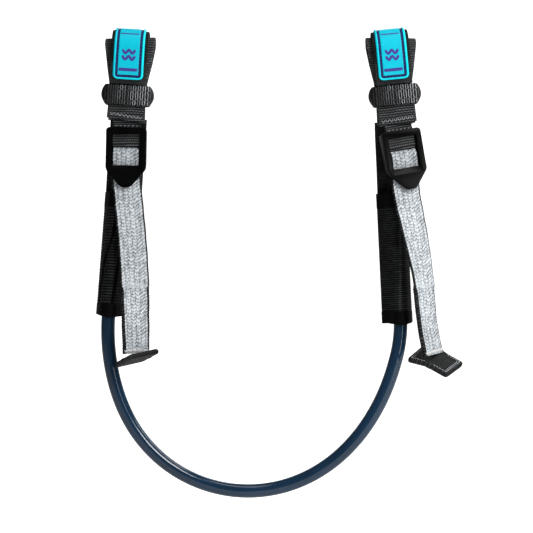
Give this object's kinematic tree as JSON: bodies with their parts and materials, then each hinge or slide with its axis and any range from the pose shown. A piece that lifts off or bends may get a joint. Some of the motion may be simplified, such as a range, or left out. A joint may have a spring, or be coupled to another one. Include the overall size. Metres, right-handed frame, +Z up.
{
  "type": "windsurf harness line",
  "caption": "Adjustable harness line: a U-shaped tube hung from hook-and-loop boom loops, with a ladder-lock buckle, pull strap and sleeve at each end.",
  "frame": {"origin": "on the boom's axis, midway between the two boom loops", "axes": "+X along the boom, +Z up, the buckles and pull straps face -Y"},
  "size_m": [0.2529, 0.0428, 0.3246],
  "materials": {
    "tube": "glossy, faintly translucent navy polyurethane",
    "core": "braided core line",
    "black_webbing": "plain black woven webbing",
    "ribbed_webbing": "black webbing with cross ribs",
    "sleeve_webbing": "fine-ribbed black sleeve fabric",
    "hook_and_loop": "hook and loop pile",
    "elastic": "knitted black elastic",
    "tab_rubber": "moulded turquoise rubber",
    "emblem": "purple raised marks and thread",
    "black_thread": "black thread",
    "buckle_plastic": "glossy black moulded plastic",
    "silver_webbing": "silver-grey braided face, black back and edges",
    "plug_plastic": "black moulded plastic"
  },
  "bodies": {
    "left_end": {"left_boom_strap": "black_webbing", "left_boom_pad": "ribbed_webbing", "left_pile_patch": "hook_and_loop", "left_base_webbing": "ribbed_webbing", "left_base_stitching": "black_thread", "left_carrier_strap": "black_webbing", "left_sleeve": "sleeve_webbing", "left_sleeve_top_hem": "sleeve_webbing", "left_sleeve_bottom_hem": "sleeve_webbing", "left_live_strap": "silver_webbing", "left_tail": "silver_webbing"},
    "left_flap": {"left_flap": "black_webbing", "left_hook_patch": "hook_and_loop", "left_tab": "tab_rubber", "left_tab_emblem": "emblem", "left_tab_stitching": "emblem"},
    "left_keeper": {"left_keeper": "elastic"},
    "left_buckle": {"left_buckle": "buckle_plastic", "left_anchor_webbing": "ribbed_webbing", "left_strap_turn": "silver_webbing"},
    "left_pull": {"left_tail_end": "silver_webbing", "left_pull_handle": "black_webbing"},
    "line": {"tube": "tube", "core_line": "core", "left_end_plug": "plug_plastic", "right_end_plug": "plug_plastic"},
    "right_end": {"right_boom_strap": "black_webbing", "right_boom_pad": "ribbed_webbing", "right_pile_patch": "hook_and_loop", "right_base_webbing": "ribbed_webbing", "right_base_stitching": "black_thread", "right_carrier_strap": "black_webbing", "right_sleeve": "sleeve_webbing", "right_sleeve_top_hem": "sleeve_webbing", "right_sleeve_bottom_hem": "sleeve_webbing", "right_live_strap": "silver_webbing", "right_tail": "silver_webbing"},
    "right_flap": {"right_flap": "black_webbing", "right_hook_patch": "hook_and_loop", "right_tab": "tab_rubber", "right_tab_emblem": "emblem", "right_tab_stitching": "emblem"},
    "right_keeper": {"right_keeper": "elastic"},
    "right_buckle": {"right_buckle": "buckle_plastic", "right_anchor_webbing": "ribbed_webbing", "right_strap_turn": "silver_webbing"},
    "right_pull": {"right_tail_end": "silver_webbing", "right_pull_handle": "black_webbing"}
  },
  "joints": [
    {"name": "left_adjust", "type": "slide", "parent": "left_end", "child": "line", "axis": [-0.0762, 0, -0.9971], "range_m": [0, 0.07], "deforming": ["left_live_strap"]},
    {"name": "left_pull_slide", "type": "slide", "parent": "left_end", "child": "left_pull", "axis": [-0.0634, -0.1483, 0.9869], "range_m": [0, 0.07], "deforming": ["left_tail"]},
    {"name": "left_flap_open", "type": "hinge", "parent": "left_end", "child": "left_flap", "pos_m": [-0.08912, 0.00759, 0.01443], "axis": [-0.9981, 0, 0.0611], "range_deg": [0, 110]},
    {"name": "left_keeper_slide", "type": "slide", "parent": "left_end", "child": "left_keeper", "axis": [-0.0611, 0, -0.9981], "range_m": [0, 0.008]},
    {"name": "left_buckle_tilt", "type": "hinge", "parent": "left_end", "child": "left_buckle", "pos_m": [-0.092, -0.0023, -0.0447], "axis": [-0.9998, 0, 0.0174], "range_deg": [0, 35]},
    {"name": "right_adjust", "type": "slide", "parent": "line", "child": "right_end", "axis": [-0.0466, 0, 0.9989], "range_m": [0, 0.07], "deforming": ["right_live_strap"]},
    {"name": "right_pull_slide", "type": "slide", "parent": "right_end", "child": "right_pull", "axis": [-0.1589, -0.1483, 0.9761], "range_m": [0, 0.07], "deforming": ["right_tail"]},
    {"name": "right_flap_open", "type": "hinge", "parent": "right_end", "child": "right_flap", "pos_m": [0.08861, 0.00759, 0.01439], "axis": [-0.9954, 0, -0.0958], "range_deg": [0, 110]},
    {"name": "right_keeper_slide", "type": "slide", "parent": "right_end", "child": "right_keeper", "axis": [0.0958, 0, -0.9954], "range_m": [0, 0.008]},
    {"name": "right_buckle_tilt", "type": "hinge", "parent": "right_end", "child": "right_buckle", "pos_m": [0.0943, -0.0023, -0.0472], "axis": [-0.9647, -0.2079, -0.1614], "range_deg": [0, 35]}
  ],
  "couplings": [
    {"joint": "left_pull_slide", "follows": "left_adjust", "ratio": 1},
    {"joint": "right_pull_slide", "follows": "right_adjust", "ratio": 1}
  ]
}
